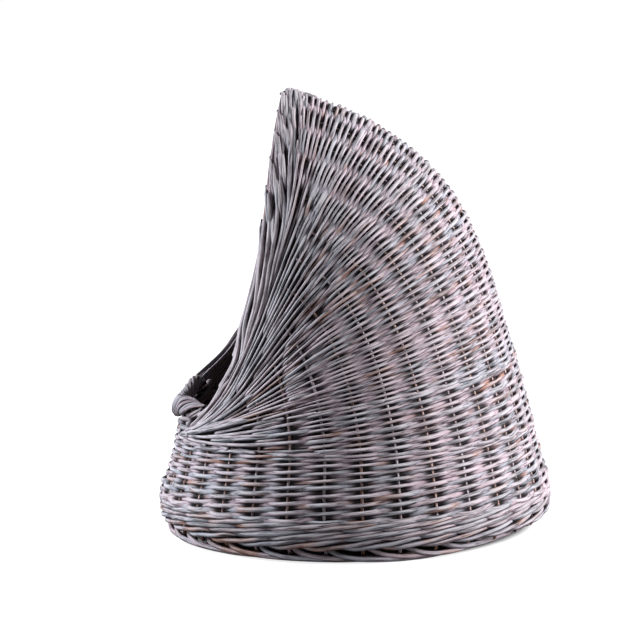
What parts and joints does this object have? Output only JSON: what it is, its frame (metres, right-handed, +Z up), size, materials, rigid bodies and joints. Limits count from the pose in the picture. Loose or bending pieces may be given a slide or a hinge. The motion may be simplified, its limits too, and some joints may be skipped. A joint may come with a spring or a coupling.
{
  "type": "cat basket",
  "caption": "Round woven willow cat basket with a tall pointed hood over the back, an arched front entrance above a low rolled lip, and a thick woven foot.",
  "frame": {"origin": "centre of the round base on the floor", "axes": "+Z up; the entrance faces -Y and the hood's back is at +Y; +X is to the right of someone who faces the entrance"},
  "size_m": [0.4366, 0.4366, 0.498],
  "materials": {
    "willow_weave": "grey-washed willow rods, dry and matt, with mauve and blue-grey rods among them",
    "thin_willow_weave": "thinner grey-washed willow rods, matt",
    "willow_wale": "thick grey-washed willow rods, matt, with brown patches where the wash is thin",
    "willow_border": "long thick grey-washed willow rods, matt, paler on the ridges",
    "willow_stake": "upright willow stakes, pinkish brown under a thin grey wash, matt",
    "willow_base": "base rods and weave, grey-brown, matt"
  },
  "bodies": {
    "root": {"base_sticks_lower": "willow_base", "base_sticks_upper": "willow_base", "base_weave": "willow_base", "foot_border": "willow_border", "stake_right_01": "willow_stake", "stake_right_02": "willow_stake", "stake_right_03": "willow_stake", "stake_right_04": "willow_stake", "stake_right_05": "willow_stake", "stake_right_06": "willow_stake", "stake_right_07": "willow_stake", "stake_right_08": "willow_stake", "stake_right_09": "willow_stake", "stake_right_10": "willow_stake", "stake_right_11": "willow_stake", "stake_right_12": "willow_stake", "stake_right_13": "willow_stake", "stake_right_14": "willow_stake", "stake_right_15": "willow_stake", "stake_right_16": "willow_stake", "stake_left_01": "willow_stake", "stake_left_02": "willow_stake", "stake_left_03": "willow_stake", "stake_left_04": "willow_stake", "stake_left_05": "willow_stake", "stake_left_06": "willow_stake", "stake_left_07": "willow_stake", "stake_left_08": "willow_stake", "stake_left_09": "willow_stake", "stake_left_10": "willow_stake", "stake_left_11": "willow_stake", "stake_left_12": "willow_stake", "stake_left_13": "willow_stake", "stake_left_14": "willow_stake", "stake_left_15": "willow_stake", "stake_left_16": "willow_stake", "bottom_wale": "willow_wale", "wall_weave_lower": "willow_weave", "wall_weave_upper": "thin_willow_weave", "hood_weave_1": "willow_weave", "hood_weave_2": "thin_willow_weave", "hood_weave_3": "willow_weave", "hood_weave_4": "thin_willow_weave", "hood_weave_5": "willow_weave", "hood_weave_6": "thin_willow_weave", "hood_corner_right": "willow_weave", "hood_corner_left": "willow_weave", "rim_rod_right_1": "willow_border", "rim_rod_right_2": "willow_border", "rim_rod_right_3": "willow_border", "rim_rod_right_4": "willow_border", "rim_rod_left_1": "willow_border", "rim_rod_left_2": "willow_border", "rim_rod_left_3": "willow_border", "rim_rod_left_4": "willow_border", "lip_border": "willow_border", "apex_wrap": "willow_border"}
  },
  "joints": []
}
